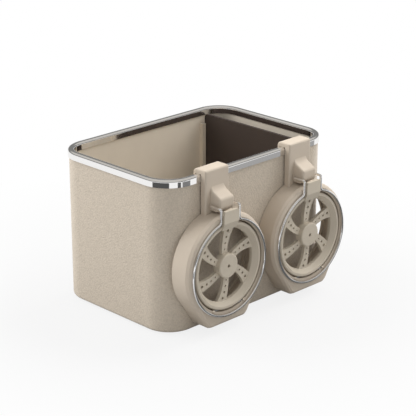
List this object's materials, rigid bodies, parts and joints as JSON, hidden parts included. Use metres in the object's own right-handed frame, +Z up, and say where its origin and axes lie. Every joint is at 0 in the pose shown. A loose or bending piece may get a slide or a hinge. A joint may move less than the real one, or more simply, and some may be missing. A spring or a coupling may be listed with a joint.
{
  "type": "car storage box with folding cup holders",
  "caption": "Open leather-covered car storage box with a plated rim, a lift-out divider and folding cup holders hooked over one long side.",
  "frame": {"origin": "middle of the underside of the base mat", "axes": "+X along the long side, to the right when facing the cup holders, +Y away from the cup holders, +Z up"},
  "size_m": [0.2, 0.1626, 0.1403],
  "materials": {
    "shell": "fine satin moulding",
    "leather": "fine pebble grain, low sheen",
    "chrome": "bright plated",
    "mat": "matt",
    "divider": "satin dark brown",
    "holder": "satin moulding",
    "wire": "bright plated wire",
    "pin": "drawn"
  },
  "bodies": {
    "box": {"box_shell": "shell", "leather_wrap": "leather", "chrome_rim": "chrome", "base_mat": "mat", "divider_rail_rear": "shell", "divider_rail_front": "shell", "holder_frame_left": "holder", "holder_frame_right": "holder", "base_hinge_pin_left": "pin", "base_hinge_pin_right": "pin"},
    "divider_plate": {"divider": "divider"},
    "left_bail": {"wire_bail_left": "wire"},
    "right_bail": {"wire_bail_right": "wire"},
    "left_base": {"cup_base_left": "holder"},
    "right_base": {"cup_base_right": "holder"}
  },
  "joints": [
    {"name": "divider_lift", "type": "slide", "parent": "box", "child": "divider_plate", "axis": [0, 0, 1], "range_m": [0, 0.12]},
    {"name": "left_bail_swing", "type": "hinge", "parent": "box", "child": "left_bail", "pos_m": [-0.0488, -0.0782, 0.1105], "axis": [-1, 0, 0], "range_deg": [0, 90]},
    {"name": "right_bail_swing", "type": "hinge", "parent": "box", "child": "right_bail", "pos_m": [0.0522, -0.0782, 0.1105], "axis": [-1, 0, 0], "range_deg": [0, 90]},
    {"name": "left_base_fold", "type": "hinge", "parent": "box", "child": "left_base", "pos_m": [-0.0488, -0.0886, 0.022], "axis": [1, 0, 0], "range_deg": [0, 90]},
    {"name": "right_base_fold", "type": "hinge", "parent": "box", "child": "right_base", "pos_m": [0.0522, -0.0886, 0.022], "axis": [1, 0, 0], "range_deg": [0, 90]}
  ]
}
